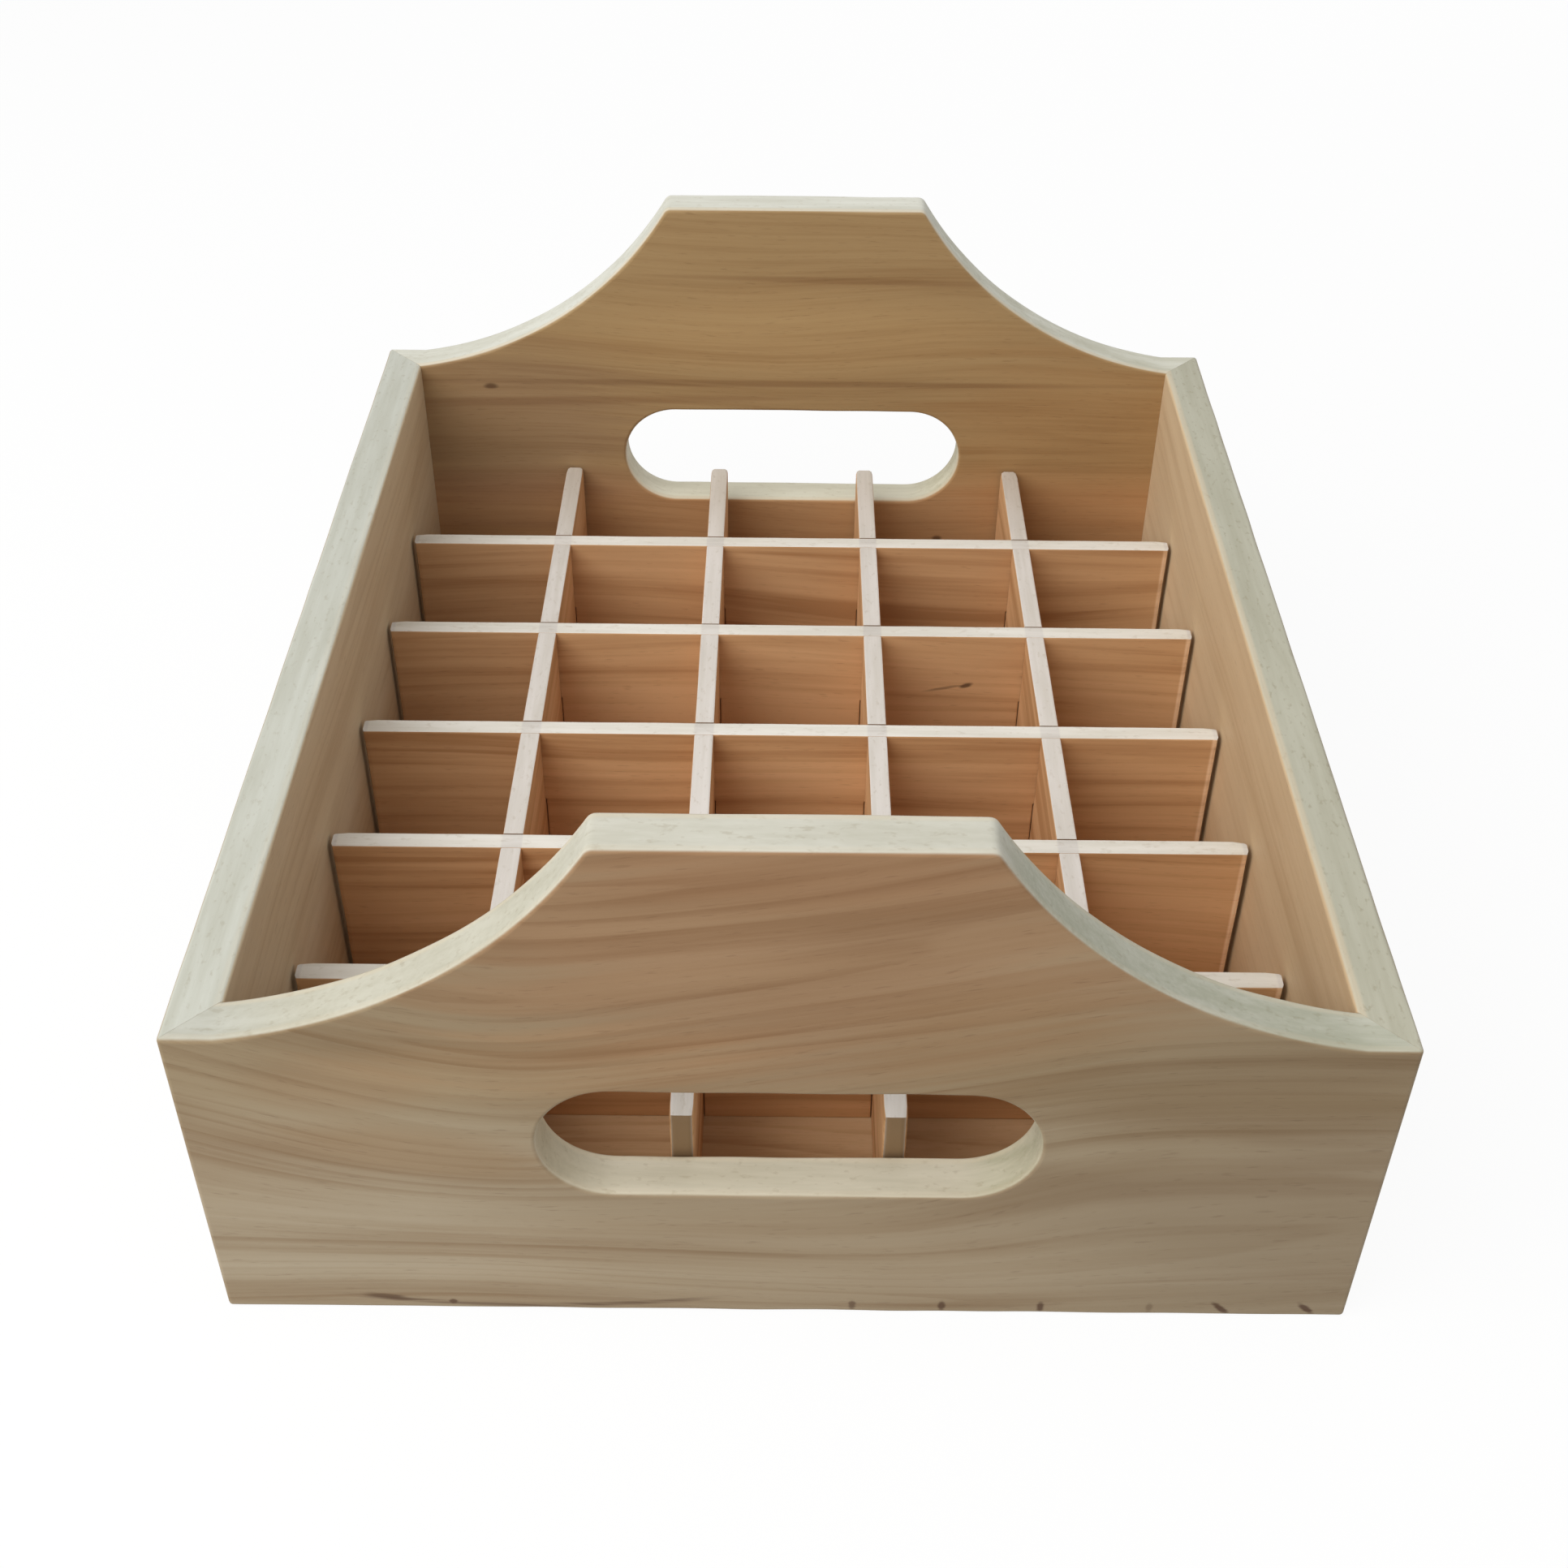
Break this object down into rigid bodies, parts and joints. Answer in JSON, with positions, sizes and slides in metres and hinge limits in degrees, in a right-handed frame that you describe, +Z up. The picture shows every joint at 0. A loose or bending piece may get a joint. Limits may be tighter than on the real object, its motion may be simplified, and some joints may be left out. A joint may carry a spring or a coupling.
{
  "type": "essential oil case",
  "caption": "Open wooden caddy with concave-shouldered end walls, oval hand holes and a loose egg-crate of slotted dividers that stands small bottles in square cells.",
  "frame": {"origin": "middle of the underside, on the surface that the case stands on", "axes": "+Z up, +Y from the front hand hole to the back one, +X to the right seen from the front"},
  "size_m": [0.22, 0.2568, 0.1205],
  "materials": {
    "wall_wood": "sanded, thin satin finish",
    "floor_wood": "sanded, bare",
    "divider_wood": "sanded, bare",
    "brad_steel": "bright drawn wire"
  },
  "bodies": {
    "case": {"front_panel": "wall_wood", "right_panel": "wall_wood", "back_panel": "wall_wood", "left_panel": "wall_wood", "bottom_panel": "floor_wood", "bottom_brad_1": "brad_steel", "bottom_brad_2": "brad_steel", "bottom_brad_3": "brad_steel", "bottom_brad_4": "brad_steel", "bottom_brad_5": "brad_steel", "bottom_brad_6": "brad_steel", "bottom_brad_7": "brad_steel", "bottom_brad_8": "brad_steel", "bottom_brad_9": "brad_steel", "bottom_brad_10": "brad_steel", "bottom_brad_11": "brad_steel", "bottom_brad_12": "brad_steel", "bottom_brad_13": "brad_steel", "bottom_brad_14": "brad_steel", "corner_brad_1": "brad_steel", "corner_brad_2": "brad_steel", "corner_brad_3": "brad_steel", "corner_brad_4": "brad_steel", "corner_brad_5": "brad_steel", "corner_brad_6": "brad_steel", "corner_brad_7": "brad_steel", "corner_brad_8": "brad_steel"},
    "divider_grid": {"long_divider_1": "divider_wood", "long_divider_2": "divider_wood", "long_divider_3": "divider_wood", "long_divider_4": "divider_wood"},
    "cross_divider_1": {"cross_divider_1": "divider_wood"},
    "cross_divider_2": {"cross_divider_2": "divider_wood"},
    "cross_divider_3": {"cross_divider_3": "divider_wood"},
    "cross_divider_4": {"cross_divider_4": "divider_wood"},
    "cross_divider_5": {"cross_divider_5": "divider_wood"}
  },
  "joints": [
    {"name": "divider_grid_lift", "type": "slide", "parent": "case", "child": "divider_grid", "axis": [0, 0, 1], "range_m": [0, 0.125]},
    {"name": "cross_divider_1_lift", "type": "slide", "parent": "divider_grid", "child": "cross_divider_1", "axis": [0, 0, 1], "range_m": [0, 0.045]},
    {"name": "cross_divider_2_lift", "type": "slide", "parent": "divider_grid", "child": "cross_divider_2", "axis": [0, 0, 1], "range_m": [0, 0.045]},
    {"name": "cross_divider_3_lift", "type": "slide", "parent": "divider_grid", "child": "cross_divider_3", "axis": [0, 0, 1], "range_m": [0, 0.045]},
    {"name": "cross_divider_4_lift", "type": "slide", "parent": "divider_grid", "child": "cross_divider_4", "axis": [0, 0, 1], "range_m": [0, 0.045]},
    {"name": "cross_divider_5_lift", "type": "slide", "parent": "divider_grid", "child": "cross_divider_5", "axis": [0, 0, 1], "range_m": [0, 0.045]}
  ]
}
